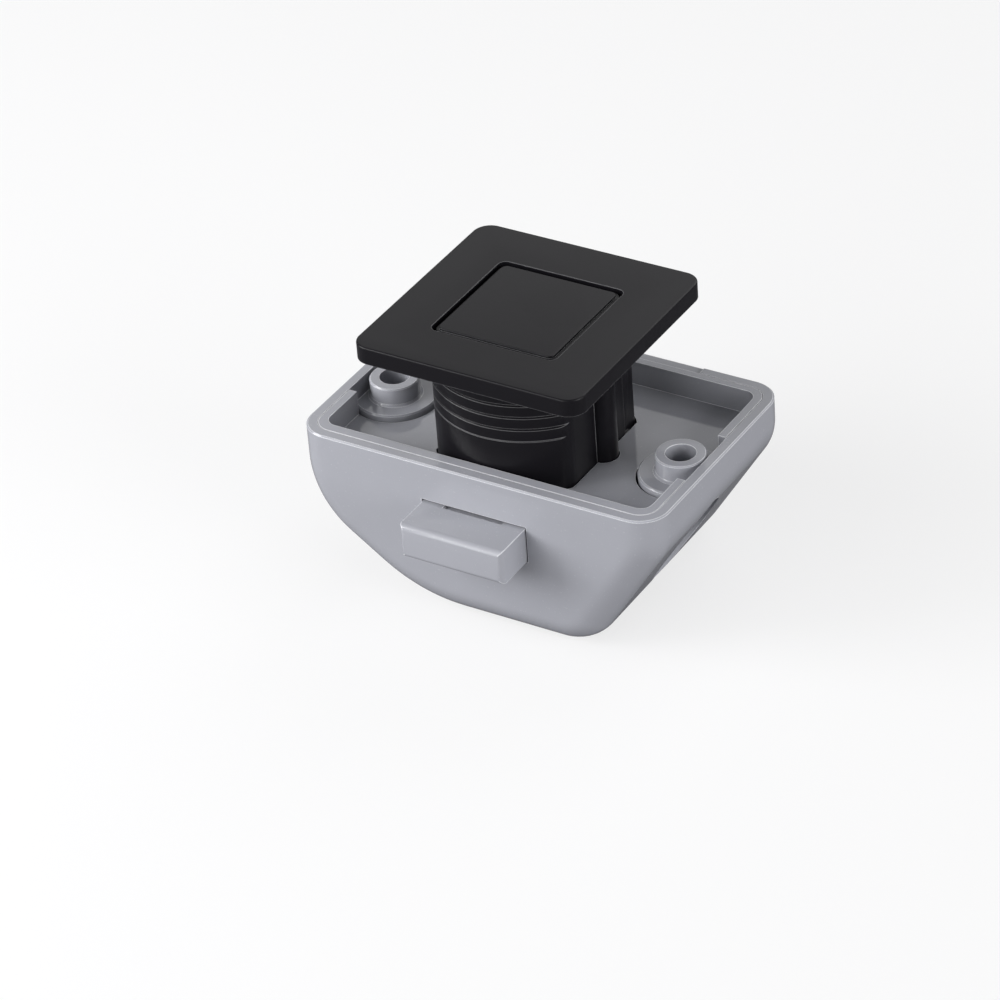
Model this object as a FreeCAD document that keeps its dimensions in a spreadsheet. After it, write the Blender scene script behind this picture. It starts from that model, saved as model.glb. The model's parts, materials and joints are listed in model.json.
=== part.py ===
import FreeCAD, Part
import math
import os
import Sketcher

# Pushbutton lock for a cabinet door, locked, standing on the flat bottom of its case.
# X runs along the front wall, Y from the front wall to the back, Z from the case to the button.

doc = FreeCAD.newDocument("pushbutton_lock")

SIZES = [
    ("rim_width", 65.0, "case rim, left to right"),
    ("rim_depth", 43.0, "case rim, front to back"),
    ("case_height", 28.0, "flat bottom to rim"),
    ("case_wall", 1.8, "wall of the outer case"),
    ("case_edge", 5.0, "rounding between the front or back and the sides"),
    ("rim_edge", 0.25, "broken outer edge of the rim"),
    ("left_slope_top", 13.65, "height where the left slope would meet the left wall"),
    ("left_slope_angle", 34.4, "left slope from level, degrees"),
    ("left_upper_round", 16.4, "bend from left wall to left slope"),
    ("left_lower_round", 27.0, "bend from left slope to bottom"),
    ("right_slope_top", 21.35, "height where the right slope would meet the right wall"),
    ("right_slope_angle", 57.5, "right slope from level, degrees"),
    ("right_upper_round", 9.2, "bend from right wall to right slope"),
    ("right_lower_round", 8.7, "bend from right slope to bottom"),
    ("lock_line", -1.5, "neck, button and screws, in front of the middle of the case"),
    ("rim_relief_depth", 0.35, "shallow step in the back rim"),
    ("rim_relief_half", 18.0, "half length of that step"),
    ("insert_gap", 0.1, "tray inside the case"),
    ("insert_side", 3.3, "rim width at the sides, case and tray"),
    ("insert_front", 3.6, "rim width at the front"),
    ("insert_back", 3.2, "rim width at the back"),
    ("insert_floor", 23.7, "height of the sunken floor"),
    ("insert_under", 21.6, "height of the underside of the tray"),
    ("insert_corner", 2.0, "inner corner of the tray"),
    ("notch_half", 6.6, "half length of the side notches of the tray"),
    ("screw_side", 6.3, "door screw from the side of the case"),
    ("screw_hole", 4.9, "hole of a door screw"),
    ("screw_recess", 11.2, "well for the head of a door screw"),
    ("screw_seat", 21.5, "height where the screw head bears"),
    ("column_size", 13.8, "column round a screw well"),
    ("column_top", 24.7, "top of the column"),
    ("tube_size", 8.2, "tube on the column"),
    ("tube_top", 27.9, "top of the tube"),
    ("column_edge", 0.25, "broken edge of the column"),
    ("tube_foot", 0.35, "thickening of the tube where it meets the column"),
    ("tube_edge", 0.2, "broken edge of the tube"),
    ("column_gap", 0.35, "tray round the column"),
    ("plate_side", 40.5, "rosette"),
    ("plate_thick", 3.0, "rosette"),
    ("plate_corner", 3.0, "corner of the rosette"),
    ("plate_edge", 0.3, "softened top edge of the rosette"),
    ("plate_top", 47.2, "top of the rosette"),
    ("opening_side", 22.5, "button opening"),
    ("opening_corner", 1.3, "corner of the button opening"),
    ("opening_relief", 1.0, "opening cut into the neck below the rosette"),
    ("neck_radius", 16.0, "round faces of the neck"),
    ("neck_flat", 12.4, "flat faces of the neck from its middle"),
    ("neck_corner", 4.0, "rounding between round and flat faces of the neck"),
    ("neck_foot", 22.6, "height of the lower end of the neck"),
    ("neck_bore", 14.9, "bore of the neck"),
    ("neck_bore_flat", 11.2, "flats of the bore from its middle"),
    ("neck_foot_edge", 0.7, "chamfer round the lower end of the neck"),
    ("rib_radius", 2.4, "upright half-round rib on each flat"),
    ("rib_centre", 12.2, "middle of the rib from the middle of the neck"),
    ("strip_start", 6.6, "where the set-back strip of a flat starts"),
    ("strip_depth", 0.35, "depth of the set-back strip"),
    ("groove_drop", 7.45, "upper ring groove below the top of the rosette"),
    ("groove_pitch", 2.2, "between ring grooves"),
    ("groove_depth", 0.35, "ring groove"),
    ("last_groove_depth", 0.12, "lowest ring groove, which is fainter"),
    ("groove_half", 0.25, "half height of a ring groove at the surface"),
    ("neck_gap", 0.15, "neck in its recess in the tray"),
    ("hook_offset", 6.0, "middle of a hook from the middle of the neck"),
    ("hook_width", 4.0, "hook"),
    ("hook_thick", 1.1, "leg of a hook"),
    ("hook_foot", 19.6, "height of the lower end of a hook"),
    ("hook_barb", 0.8, "barb of a hook"),
    ("button_side", 21.7, "button"),
    ("button_corner", 1.5, "corner of the button"),
    ("button_drop", 0.1, "button top below the rosette top"),
    ("button_height", 14.5, "button, top to lower edge"),
    ("button_wall", 1.3, "skirt of the button"),
    ("button_roof", 1.8, "top of the button"),
    ("button_edge", 0.15, "softened top edge of the button"),
    ("button_ledge", 0.55, "width of the step round the top of the button"),
    ("button_step", 0.4, "depth of that step"),
    ("lug_reach", 13.3, "stop lug from the middle of the button"),
    ("lug_half", 4.0, "half width of a stop lug"),
    ("lug_height", 1.9, "stop lug, from the lower edge of the button"),
    ("socket_radius", 7.4, "socket under the button"),
    ("socket_height", 10.1, "lower end of the socket below the top of the button"),
    ("stem_head_radius", 5.0, "round upper part of the plunger"),
    ("stem_head_cover", 2.2, "top of the plunger below the top of the button"),
    ("stem_head_height", 14.9, "round part of the plunger"),
    ("stem_half_width", 5.5, "plunger, left to right"),
    ("stem_half_depth", 5.0, "plunger, front to back"),
    ("stem_foot", 3.6, "height of the lower end of the plunger"),
    ("stem_gap", 0.1, "plunger in the tray"),
    ("join_gap", 0.02, "pinned and seated pieces"),
    ("cap_pin_radius", 1.25, "pin through button and plunger"),
    ("cap_pin_drop", 6.6, "that pin below the top of the button"),
    ("cap_pin_short", 0.4, "that pin inside the face of the socket"),
    ("pin_radius", 1.5, "cross pin"),
    ("pin_height", 9.0, "height of the cross pin when locked"),
    ("pin_half", 9.2, "half length of the cross pin"),
    ("slot_gap", 0.05, "cross pin in the slots of the bolt"),
    ("press_travel", 1.5, "button pressed past flush"),
    ("rise_travel", 9.5, "button standing out when unlocked"),
    ("bolt_ratio", 0.85, "bolt travel for button travel"),
    ("bolt_half", 9.3, "half width of the bolt"),
    ("bolt_reach", 7.4, "nose in front of the case"),
    ("bolt_under", 14.8, "height of the underside of the bolt head"),
    ("bolt_top", 20.95, "height of the top of the bolt"),
    ("bolt_edge", 1.1, "rounded edges of the nose"),
    ("bolt_head_back", -15.4, "back of the bolt head"),
    ("arm_inner", 7.2, "inner face of a bolt arm"),
    ("arm_under", 5.0, "height of the underside of an arm"),
    ("bar_front", 5.4, "front of the rear bar of the bolt"),
    ("bar_back", 8.0, "back of the rear bar"),
    ("relief_half", 5.4, "half width of the shallow relief on the bolt"),
    ("relief_depth", 0.45, "relief on the bolt"),
    ("relief_lead", 0.35, "relief in front of the case wall"),
    ("relief_length", 5.0, "relief, front to back"),
    ("window_side_gap", 0.2, "bolt in its window, sideways"),
    ("window_under_gap", 0.1, "bolt in its window, below"),
    ("window_over_gap", 0.35, "bolt in its window, above"),
    ("chassis_inner", 9.5, "inner face of a chassis wall"),
    ("chassis_wall", 1.4, "wall of the chassis"),
    ("chassis_half", 17.5, "half length of the chassis"),
    ("chassis_under", 3.2, "height of the underside of the chassis"),
    ("chassis_floor", 1.2, "floor of the chassis"),
    ("chassis_top", 21.3, "height of the top of the chassis"),
    ("stem_room", 0.5, "chassis round the plunger"),
    ("shelf_half", 6.6, "half width of the shelf under the rear bar"),
    ("shelf_front", 4.8, "front of that shelf"),
    ("shelf_top", 14.7, "height of the top of that shelf"),
    ("shelf_thick", 1.5, "that shelf"),
    ("pillar_half", 1.2, "half thickness of the pillar under the shelf"),
    ("post_offset", 15.0, "chassis posts from the middle of the case"),
    ("post_radius", 2.7, "chassis post"),
    ("post_top", 8.0, "height of the top of a post"),
    ("ear_thick", 1.4, "ear of the chassis"),
    ("ear_radius", 3.2, "round end of an ear"),
    ("small_screw_radius", 1.1, "shank of the small screws"),
    ("small_slot_half", 0.3, "half width of the slot of the small screws"),
    ("small_head_radius", 2.4, "head of a chassis screw"),
    ("small_head_height", 1.7, "head of a chassis screw"),
    ("chassis_screw_tip", 4.4, "height of the tip of a chassis screw"),
    ("pad_front", 16.6, "front of the buffer behind the bolt"),
    ("pad_thick", 1.6, "buffer"),
    ("pad_half", 6.0, "half width of the buffer"),
    ("pad_below_top", 0.4, "buffer below the top of the chassis"),
    ("stop_wall", 1.2, "chassis wall behind the buffer"),
    ("track_half", 2.7, "half width of the catch track"),
    ("island_half", 0.9, "half width of the island of the catch track"),
    ("track_depth", 1.3, "catch track"),
    ("track_foot", 4.1, "height of the lower end of the catch track"),
    ("track_top", 17.0, "height of the upper end of the catch track"),
    ("island_foot", 6.6, "height of the lower tip of the island"),
    ("island_shoulder", 14.6, "height of the shoulders of the island"),
    ("island_notch", 13.4, "height of the notch of the island"),
    ("wire_radius", 0.5, "catch wire"),
    ("wire_lane", 1.75, "catch wire from the middle of the plunger"),
    ("wire_tip_height", 14.2, "height of the tip of the catch wire"),
    ("wire_tip_depth", 1.1, "tip of the catch wire in the track"),
    ("wire_foot_y", -10.6, "foot of the catch wire"),
    ("wire_foot_height", 6.4, "height of the foot of the catch wire"),
    ("wire_foot_end", -3.0, "free end of the foot of the catch wire"),
    ("wire_bend", 1.2, "bend of the catch wire"),
    ("stand_front", -15.5, "front of the stand of the catch wire"),
    ("stand_back", -9.2, "back of the stand"),
    ("stand_step", -12.0, "where the stand steps down"),
    ("stand_half", 6.0, "half width of the stand"),
    ("catch_plate_right", 0.5, "right end of the catch plate"),
    ("catch_plate_thick", 1.0, "catch plate"),
    ("catch_screw_x", -3.2, "catch screw"),
    ("catch_screw_y", -13.7, "catch screw"),
    ("catch_head_radius", 1.7, "head of the catch screw"),
    ("catch_head_height", 1.2, "head of the catch screw"),
    ("catch_screw_tip", 4.7, "height of the tip of the catch screw"),
    ("leaf_thick", 0.3, "leaf spring"),
    ("leaf_half", 6.0, "half length of the leaf spring"),
    ("leaf_low", 16.0, "height of the lower edge of the leaf spring"),
    ("leaf_high", 20.0, "height of the upper edge of the leaf spring"),
    ("leaf_pocket", 1.0, "pocket for the leaf spring in the chassis wall"),
    ("leaf_clear", 0.04, "leaf spring from the bolt"),
    ("seat_outer", 10.5, "spring seat"),
    ("seat_inner", 7.7, "hole of the spring seat"),
    ("seat_thick", 1.5, "spring seat"),
    ("spring_radius", 8.5, "mean radius of the main spring"),
    ("spring_wire", 0.5, "radius of the wire of the main spring"),
    ("spring_shrink", 0.01, "main spring from its seat and from the button"),
    ("recess_depth", 1.1, "recess for the neck in the tray floor"),
    ("ledge_under", 19.6, "height of the underside of the ledges under the tray"),
    ("ledge_reach", 1.4, "ledge from the inner face of the case"),
    ("ledge_inner", 11.6, "inner end of a front ledge"),
    ("ledge_outer", 24.0, "outer end of a ledge"),
]

sheet = doc.addObject("Spreadsheet::Sheet", "sizes")
for row, (name, value, note) in enumerate(SIZES, start=1):
    sheet.set("A%d" % row, name)
    sheet.set("B%d" % row, str(value))
    sheet.set("C%d" % row, note)
    sheet.setAlias("B%d" % row, name)
doc.recompute()


class Size:
    """A number of the sheet, or a sum built from such numbers, together with its expression."""

    def __init__(self, value, text):
        self.value = value
        self.text = text

    def __add__(self, other):
        other = as_size(other)
        return Size(self.value + other.value, "(%s + %s)" % (self.text, other.text))

    def __sub__(self, other):
        other = as_size(other)
        return Size(self.value - other.value, "(%s - %s)" % (self.text, other.text))

    def __mul__(self, other):
        other = as_size(other)
        return Size(self.value * other.value, "(%s * %s)" % (self.text, other.text))

    def __truediv__(self, other):
        other = as_size(other)
        return Size(self.value / other.value, "(%s / %s)" % (self.text, other.text))

    def __neg__(self):
        return Size(-self.value, "(0 - %s)" % self.text)


def as_size(number):
    return number if isinstance(number, Size) else Size(float(number), repr(float(number)))


VALUES = {name: Size(value, "sizes." + name) for name, value, note in SIZES}


def size(name):
    return VALUES[name]


def tangent(angle):
    return Size(math.tan(math.radians(angle.value)), "tan(%s * 1 deg)" % angle.text)


def cosine(angle):
    return Size(math.cos(math.radians(angle.value)), "cos(%s * 1 deg)" % angle.text)


def bind(item, path, number):
    item.setExpression(path, as_size(number).text)


def bind_place(item, x, y, z):
    for axis, number in (("x", x), ("y", y), ("z", z)):
        bind(item, ".Placement.Base." + axis, number)


# Plain solids

def box(name, x_range, y_range, z_range):
    item = doc.addObject("Part::Box", name)
    ranges = [tuple(as_size(end) for end in pair) for pair in (x_range, y_range, z_range)]
    for side, (low, high) in zip(("Length", "Width", "Height"), ranges):
        bind(item, side, high - low)
    bind_place(item, *(low for low, high in ranges))
    return item


def rod(name, radius, x, y, z_range):
    low, high = (as_size(end) for end in z_range)
    item = doc.addObject("Part::Cylinder", name)
    bind(item, "Radius", radius)
    bind(item, "Height", high - low)
    bind_place(item, x, y, low)
    return item


def cross_rod(name, radius, x_range, y, z):
    low, high = (as_size(end) for end in x_range)
    item = doc.addObject("Part::Cylinder", name)
    bind(item, "Radius", radius)
    bind(item, "Height", high - low)
    item.Placement.Rotation = FreeCAD.Rotation(FreeCAD.Vector(0, 1, 0), 90)
    bind_place(item, low, y, z)
    return item


def cone(name, low_radius, high_radius, x, y, z_range):
    low, high = (as_size(end) for end in z_range)
    item = doc.addObject("Part::Cone", name)
    bind(item, "Radius1", low_radius)
    bind(item, "Radius2", high_radius)
    bind(item, "Height", high - low)
    bind_place(item, x, y, low)
    return item


def fuse(name, items):
    item = doc.addObject("Part::MultiFuse", name)
    item.Shapes = list(items)
    item.Refine = True
    return item


def cut(name, base, tools):
    """Cuts the tools one after the other, which holds up better than one cut with all of them."""
    for index, tool in enumerate(tools, start=1):
        item = doc.addObject("Part::Cut", name if index == len(tools) else "%s_%d" % (name, index))
        item.Base = base
        item.Tool = tool
        item.Refine = index == len(tools)
        base = item
    return item


def soften(name, base, test, radius):
    """Rounds the edges of a plain solid that pass the test."""
    item = doc.addObject("Part::Fillet", name)
    item.Base = base
    doc.recompute()
    item.Edges = [(int(edge[4:]), radius.value, radius.value) for edge in edges(base, test)]
    return item


def common(name, first, second):
    item = doc.addObject("Part::MultiCommon", name)
    item.Shapes = [first, second]
    item.Refine = True
    return item


# Sketched solids

def body(name):
    return doc.addObject("PartDesign::Body", name)


def sketch(owner, name, plane, offset=None):
    item = owner.newObject("Sketcher::SketchObject", name)
    origin = [part for part in owner.Origin.OriginFeatures if part.Role == plane + "_Plane"][0]
    item.AttachmentSupport = [(origin, "")]
    item.MapMode = "FlatFace"
    if offset is not None:
        bind(item, ".AttachmentOffset.Base.z", offset)
    return item


def pin_point(item, curve, end, x, y):
    for kind, number in (("DistanceX", x), ("DistanceY", y)):
        number = as_size(number)
        if abs(number.value) < 1e-9:
            other = -2 if kind == "DistanceX" else -1
            item.addConstraint(Sketcher.Constraint("PointOnObject", curve, end, other))
            continue
        index = item.addConstraint(Sketcher.Constraint(kind, -1, 1, curve, end, number.value))
        item.setExpression("Constraints[%d]" % index, number.text)


def polygon(item, points):
    points = [(as_size(x), as_size(y)) for x, y in points]
    ends = [FreeCAD.Vector(x.value, y.value, 0) for x, y in points]
    first = item.GeometryCount
    count = len(ends)
    for index in range(count):
        item.addGeometry(Part.LineSegment(ends[index], ends[(index + 1) % count]), False)
    for index in range(count):
        following = first + (index + 1) % count
        item.addConstraint(Sketcher.Constraint("Coincident", first + index, 2, following, 1))
    for index, (x, y) in enumerate(points):
        pin_point(item, first + index, 1, x, y)


def rectangle(item, x_range, y_range):
    (left, right), (low, high) = x_range, y_range
    polygon(item, [(left, low), (right, low), (right, high), (left, high)])


def pad(owner, name, profile, length, both_ways=False):
    item = owner.newObject("PartDesign::Pad", name)
    item.Profile = profile
    bind(item, "Length", length)
    if both_ways:
        item.SideType = "Symmetric"
    profile.Visibility = False
    doc.recompute()
    return item


def edges(item, test):
    """Names of the edges of an item whose list of end and middle points passes the test."""
    names = []
    for index, edge in enumerate(item.Shape.Edges, start=1):
        middle = edge.valueAt((edge.FirstParameter + edge.LastParameter) / 2)
        if test([vertex.Point for vertex in edge.Vertexes] + [middle]):
            names.append("Edge%d" % index)
    return names


def fillet(owner, name, base, test, radius):
    item = owner.newObject("PartDesign::Fillet", name)
    item.Base = (base, edges(base, test))
    bind(item, "Radius", radius)
    doc.recompute()
    return item


def chamfer(owner, name, base, test, width):
    item = owner.newObject("PartDesign::Chamfer", name)
    item.Base = (base, edges(base, test))
    bind(item, "Size", width)
    doc.recompute()
    return item


def near(first, second):
    return abs(first - second) < 1e-4


def upright(points):
    first, last = points[0], points[-2]
    return near(first.x, last.x) and near(first.y, last.y) and not near(first.z, last.z)


def at_height(number):
    return lambda points: all(near(point.z, number.value) for point in points)


def along(x, z):
    """Edges that run along Y through a place in the XZ plane."""
    return lambda points: all(near(point.x, x.value) and near(point.z, z.value) for point in points)


def square_block(name, half, y_middle, corner, z_range, top_edge=None):
    """An upright square block with rounded corners, its top edge softened if asked."""
    owner = body(name)
    low, high = (as_size(end) for end in z_range)
    half, y_middle = as_size(half), as_size(y_middle)
    profile = sketch(owner, name + "_outline", "XY", low)
    rectangle(profile, (-half, half), (y_middle - half, y_middle + half))
    block = pad(owner, name + "_pad", profile, high - low)
    last = fillet(owner, name + "_corners", block, upright, corner)
    if top_edge is not None:
        fillet(owner, name + "_edge", last, at_height(high), top_edge)
    return owner


# The outer form of the case, and the same form set in by a distance

def case_form(name, inset, top, rim_edge=None):
    inset, top = as_size(inset), as_size(top)
    half = size("rim_width") / 2 - inset
    left_angle, right_angle = size("left_slope_angle"), size("right_slope_angle")

    def wall_end(slope_top, angle):
        return slope_top - inset * tangent(angle) + inset / cosine(angle)

    def floor_end(slope_top, angle):
        return half - (wall_end(slope_top, angle) - inset) / tangent(angle)

    left_end = wall_end(size("left_slope_top"), left_angle)
    right_end = wall_end(size("right_slope_top"), right_angle)
    left_foot = -floor_end(size("left_slope_top"), left_angle)
    right_foot = floor_end(size("right_slope_top"), right_angle)
    owner = body(name)
    profile = sketch(owner, name + "_outline", "XZ")
    polygon(profile, [(-half, top), (-half, left_end), (left_foot, inset), (right_foot, inset),
                      (half, right_end), (half, top)])
    depth = size("rim_depth") - inset * 2
    last = pad(owner, name + "_pad", profile, depth, both_ways=True)
    bends = [
        ("left_upper", -half, left_end, "left_upper_round"),
        ("left_lower", left_foot, inset, "left_lower_round"),
        ("right_lower", right_foot, inset, "right_lower_round"),
        ("right_upper", half, right_end, "right_upper_round"),
    ]
    for label, x, z, radius in bends:
        last = fillet(owner, name + "_" + label, last, along(x, z), size(radius) - inset)

    def on_end_outline(points):
        at_end = all(near(abs(point.y), depth.value / 2) for point in points)
        return at_end and not at_height(top)(points)

    last = fillet(owner, name + "_edge", last, on_end_outline, size("case_edge") - inset)
    if rim_edge is not None:
        chamfer(owner, name + "_rim", last, at_height(top), rim_edge)
    return owner


# Shared places

LOCK_Y = size("lock_line")
CASE_TOP = size("case_height")
FRONT = -size("rim_depth") / 2
BACK = size("rim_depth") / 2
ROOM_SIDE = size("rim_width") / 2 - size("case_wall")
ROOM_FRONT = FRONT + size("case_wall")
ROOM_BACK = BACK - size("case_wall")
SCREW_X = size("rim_width") / 2 - size("screw_side")
PLATE_UNDER = size("plate_top") - size("plate_thick")
BUTTON_TOP = size("plate_top") - size("button_drop")
BUTTON_FOOT = BUTTON_TOP - size("button_height")
SOCKET_FOOT = BUTTON_TOP - size("socket_height")
STEM_TOP = BUTTON_TOP - size("stem_head_cover")
CAP_PIN_Z = BUTTON_TOP - size("cap_pin_drop")
RECESS_FLOOR = size("insert_floor") - size("recess_depth")
HOLE = size("screw_hole") / 2
COLUMN = size("column_size") / 2
PAST = 1.0
SIDES = (("left", -1.0), ("right", 1.0))


def mirrored(sign, low, high):
    """The range low to high on the right, or its mirror image on the left."""
    low, high = as_size(low), as_size(high)
    return (low, high) if sign > 0 else (-high, -low)


def case_shell():
    block = case_form("case_block", 0, CASE_TOP, size("rim_edge"))
    room = case_form("case_room", size("case_wall"), CASE_TOP + PAST)
    shell = cut("case_skin", block, [room])
    inside = []
    wells = []
    for side, sign in SIDES:
        x = SCREW_X * sign
        inside.append(screw_column("column_" + side, x))
        inside.append(rod("post_" + side, size("post_radius"), size("post_offset") * sign, LOCK_Y,
                          (0, size("post_top"))))
        wells.append(rod("well_" + side, size("screw_recess") / 2, x, LOCK_Y, (-PAST, size("screw_seat"))))
        wells.append(rod("hole_" + side, HOLE, x, LOCK_Y, (0, CASE_TOP + PAST)))
        wells.append(rod("post_hole_" + side, size("small_screw_radius") + size("join_gap"),
                         size("post_offset") * sign, LOCK_Y,
                         (size("chassis_screw_tip") - size("join_gap"), size("post_top") + PAST)))
        across = mirrored(sign, size("ledge_inner"), size("ledge_outer"))
        upright_range = (size("ledge_under"), size("insert_under"))
        inside.append(box("ledge_front_" + side, across,
                          (FRONT + size("case_wall") / 2, ROOM_FRONT + size("ledge_reach")), upright_range))
        inside.append(box("ledge_back_" + side, across,
                          (ROOM_BACK - size("ledge_reach"), BACK - size("case_wall") / 2), upright_range))
    kept = common("case_inside", fuse("case_supports", inside), case_form("case_limit", 0, CASE_TOP))
    window_half = size("bolt_half") + size("window_side_gap")
    window = box("bolt_window", (-window_half, window_half), (FRONT - PAST, ROOM_FRONT + PAST),
                 (size("bolt_under") - size("window_under_gap"), size("bolt_top") + size("window_over_gap")))
    relief = box("rim_relief", (-size("rim_relief_half"), size("rim_relief_half")), (ROOM_BACK, BACK + PAST),
                 (CASE_TOP - size("rim_relief_depth"), CASE_TOP + PAST))
    return cut("case_shell", fuse("case_solid", [shell, kept]), wells + [window, relief])


def screw_column(name, x):
    """The turned column of a door screw with its tube, its edges broken and the foot of the tube thickened."""
    owner = body(name)
    profile = sketch(owner, name + "_outline", "XZ")
    tube, shoulder, top = size("tube_size") / 2, size("column_top"), size("tube_top")
    polygon(profile, [(0, 0), (COLUMN, 0), (COLUMN, shoulder), (tube, shoulder), (tube, top), (0, top)])
    item = turned(owner, name + "_turn", profile)

    def ring(radius, height):
        """Circular edges round the Z axis."""
        return lambda points: all(near(point.z, height.value) and near(point.Length ** 2 - point.z ** 2,
                                                                       radius.value ** 2) for point in points)

    item = chamfer(owner, name + "_shoulder", item, ring(COLUMN, shoulder), size("column_edge"))
    item = chamfer(owner, name + "_foot", item, ring(tube, shoulder), size("tube_foot"))
    chamfer(owner, name + "_mouth", item, ring(tube, top), size("tube_edge"))
    bind_place(owner, x, LOCK_Y, 0)
    return owner


def turned(owner, name, profile):
    item = owner.newObject("PartDesign::Revolution", name)
    item.Profile = profile
    item.ReferenceAxis = (profile, ["V_Axis"])
    item.Angle = 360
    profile.Visibility = False
    doc.recompute()
    return item


def neck_outline(name, radius, flat, z_range):
    """An upright round bar with two flats, left and right."""
    bar = rod(name + "_bar", radius, 0, LOCK_Y, z_range)
    reach = as_size(radius) + PAST
    slab = box(name + "_slab", (-as_size(flat), flat), (LOCK_Y - reach, LOCK_Y + reach), z_range)
    return common(name, bar, slab)


def case_insert():
    form = case_form("tray_form", size("case_wall") + size("insert_gap"), CASE_TOP)
    reach = size("rim_width")
    slab = box("tray_slab", (-reach, reach), (-reach, reach), (size("insert_under"), CASE_TOP))
    blank = common("tray_blank", form, slab)
    hollow = body("tray_hollow")
    profile = sketch(hollow, "tray_hollow_outline", "XY", size("insert_floor"))
    side = size("rim_width") / 2 - size("insert_side")
    rectangle(profile, (-side, side), (FRONT + size("insert_front"), BACK - size("insert_back")))
    block = pad(hollow, "tray_hollow_pad", profile, CASE_TOP - size("insert_floor") + PAST)
    fillet(hollow, "tray_hollow_corners", block, upright, size("insert_corner"))
    tools = [hollow]
    through = (size("insert_under") - PAST, CASE_TOP + PAST)
    for name, sign in SIDES:
        radius = COLUMN + size("column_gap")
        tools.append(rod("tray_column_" + name, radius, SCREW_X * sign, LOCK_Y, through))
        tools.append(box("tray_notch_" + name, mirrored(sign, SCREW_X, ROOM_SIDE + PAST),
                         (LOCK_Y - size("notch_half"), LOCK_Y + size("notch_half")), through))
        tools.append(rod("tray_rib_" + name, size("rib_radius") + size("neck_gap"), size("rib_centre") * sign,
                         LOCK_Y, (RECESS_FLOOR, CASE_TOP)))
        for row, step in (("front", -1.0), ("back", 1.0)):
            middle = LOCK_Y + size("hook_offset") * step
            half = size("hook_width") / 2 + size("neck_gap")
            tools.append(box("hook_slot_%s_%s" % (name, row),
                             mirrored(sign, size("neck_flat") - size("hook_thick") - size("neck_gap"),
                                    size("neck_flat") + size("neck_gap")),
                             (middle - half, middle + half), through))
    tools.append(neck_outline("neck_recess", size("neck_radius") + size("neck_gap"),
                              size("neck_flat") + size("neck_gap"), (RECESS_FLOOR, CASE_TOP)))
    wide = size("stem_half_width") + size("stem_gap")
    deep = size("stem_half_depth") + size("stem_gap")
    tools.append(box("stem_hole", (-wide, wide), (LOCK_Y - deep, LOCK_Y + deep), through))
    return cut("case_insert", blank, tools)


def groove(name, height, depth):
    """A ring of triangular section that cuts one groove into the round faces of the neck."""
    owner = body(name)
    profile = sketch(owner, name + "_outline", "XZ")
    outer = size("neck_radius") + size("groove_half")
    root = size("neck_radius") - depth
    spread_half = size("groove_half") * 2
    polygon(profile, [(root, height), (outer, height - spread_half), (outer, height + size("groove_half"))])
    turned(owner, name + "_turn", profile)
    bind_place(owner, 0, LOCK_Y, 0)
    return owner


def rosette():
    top, under = size("plate_top"), PLATE_UNDER
    plate = square_block("rosette_plate", size("plate_side") / 2, LOCK_Y, size("plate_corner"), (under, top),
                         size("plate_edge"))
    opening = square_block("button_opening", size("opening_side") / 2, LOCK_Y, size("opening_corner"),
                           (under - size("opening_relief"), top + PAST))
    bar = neck_outline("neck_bar", size("neck_radius"), size("neck_flat"), (size("neck_foot"), under + PAST))
    neck = soften("neck_soft", bar, upright, size("neck_corner"))
    foot = chamfer_ring()
    bore = neck_outline("neck_hollow", size("neck_bore"), size("neck_bore_flat"),
                        (size("neck_foot") - PAST, under))
    cuts = [foot]
    for index, depth in enumerate(["groove_depth"] * 3 + ["last_groove_depth"]):
        height = top - size("groove_drop") - size("groove_pitch") * float(index)
        cuts.append(groove("ring_groove_%d" % (index + 1), height, size(depth)))
    ribs = []
    hooks = []
    for name, sign in SIDES:
        strip = mirrored(sign, size("neck_flat") - size("strip_depth"), size("neck_flat") + PAST)
        cuts.append(box("strip_" + name, strip, (LOCK_Y + size("strip_start"), LOCK_Y + size("neck_radius")),
                        (size("neck_foot") - PAST, under - size("plate_edge"))))
        ribs.append(rod("rib_" + name, size("rib_radius"), size("rib_centre") * sign, LOCK_Y,
                        (size("neck_foot"), under + PAST)))
        for row, step in (("front", -1.0), ("back", 1.0)):
            middle = LOCK_Y + size("hook_offset") * step
            width = (middle - size("hook_width") / 2, middle + size("hook_width") / 2)
            label = "%s_%s" % (name, row)
            hooks.append(box("hook_leg_" + label,
                             mirrored(sign, size("neck_flat") - size("hook_thick"), size("neck_flat")),
                             width, (size("hook_foot"), size("neck_foot") + PAST)))
            hooks.append(barb("hook_barb_" + label, sign, width))
    shaped = cut("neck_shaped", neck, cuts)
    outside = fuse("rosette_outside", [plate, shaped] + ribs)
    hollowed = cut("rosette_hollowed", outside, [bore, opening])
    return fuse("rosette", [hollowed] + hooks)


def chamfer_ring():
    """Cuts the slanted lower edge of the round faces of the neck."""
    foot, edge, radius = size("neck_foot"), size("neck_foot_edge"), size("neck_radius")
    ring = rod("neck_foot_ring", radius + PAST, 0, LOCK_Y, (foot - PAST, foot + edge))
    core = cone("neck_foot_core", radius - edge - PAST, radius, 0, LOCK_Y, (foot - PAST, foot + edge))
    return cut("neck_foot_cut", ring, [core])


def barb(name, sign, width):
    """The slanted barb on the outside of a hook, under the tray."""
    owner = body(name)
    low, high = width
    profile = sketch(owner, name + "_outline", "XZ", -high)
    inner = size("neck_flat") - size("hook_thick") / 2
    outer = size("neck_flat") + size("hook_barb")
    over = size("insert_under") - size("stem_gap")
    foot = size("hook_foot")
    points = [(inner, foot), (size("neck_flat"), foot), (outer, over), (inner, over)]
    polygon(profile, [(x * sign, z) for x, z in points])
    pad(owner, name + "_pad", profile, high - low)
    return owner


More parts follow.
